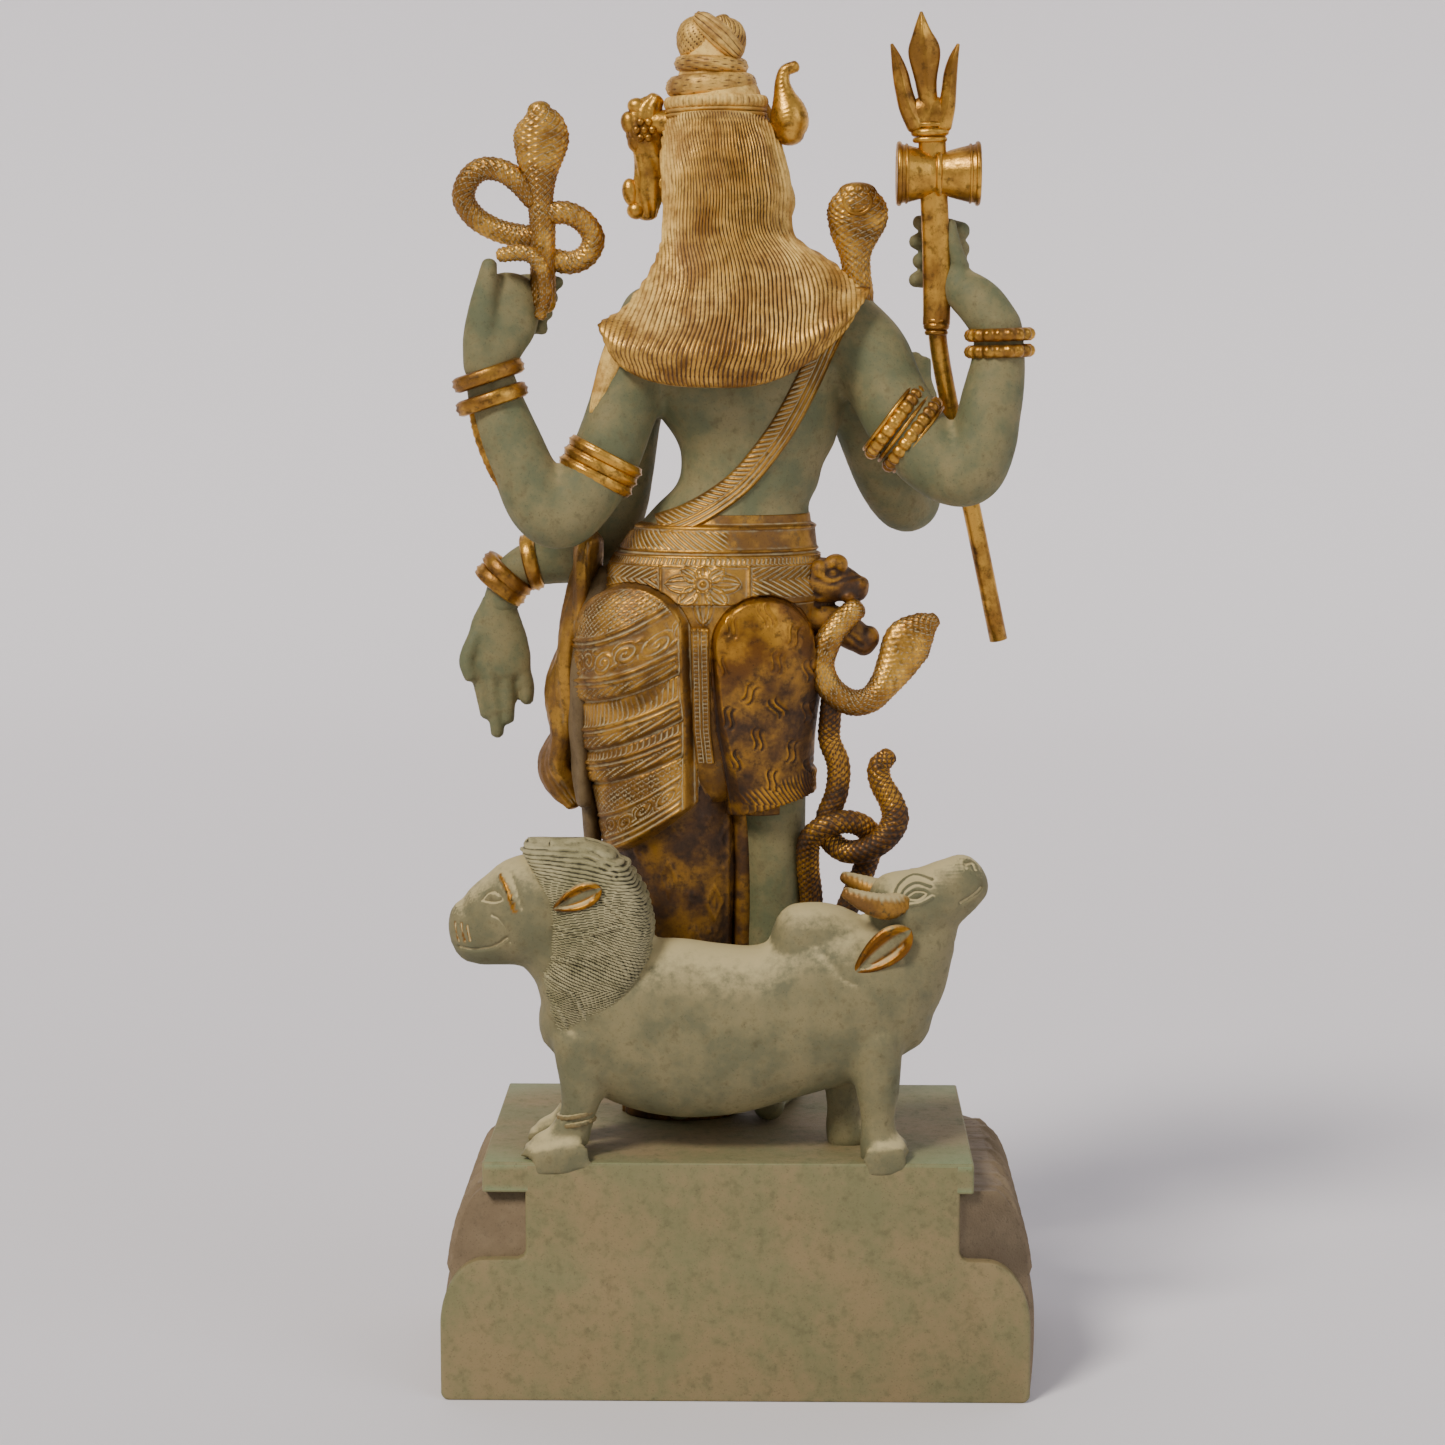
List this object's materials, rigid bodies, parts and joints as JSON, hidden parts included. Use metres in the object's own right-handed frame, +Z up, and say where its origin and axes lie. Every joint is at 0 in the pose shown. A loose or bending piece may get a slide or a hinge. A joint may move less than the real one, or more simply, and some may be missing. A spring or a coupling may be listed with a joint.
{
  "type": "ardhanarishvara statue",
  "caption": "Four-armed half-male, half-female deity cast in brass, standing before a two-headed lion and bull mount on a lotus pedestal",
  "frame": {"origin": "centre of the pedestal's underside, which rests on the ground", "axes": "+Z up through the crown, -Y the way the figure looks, +X towards the figure's own left"},
  "size_m": [0.327, 0.2107, 0.7603],
  "materials": {
    "patinated_brass": "cast brass under a matt green-grey patina with pale dust in the hollows",
    "figure_brass": "cast brass, patinated skin with rubbed golden hair, dress and ornaments",
    "burnished_brass": "cast brass rubbed bright over a brown patina"
  },
  "bodies": {
    "root": {"pedestal": "patinated_brass", "vahana": "patinated_brass", "figure": "figure_brass", "trident": "burnished_brass"}
  },
  "joints": []
}
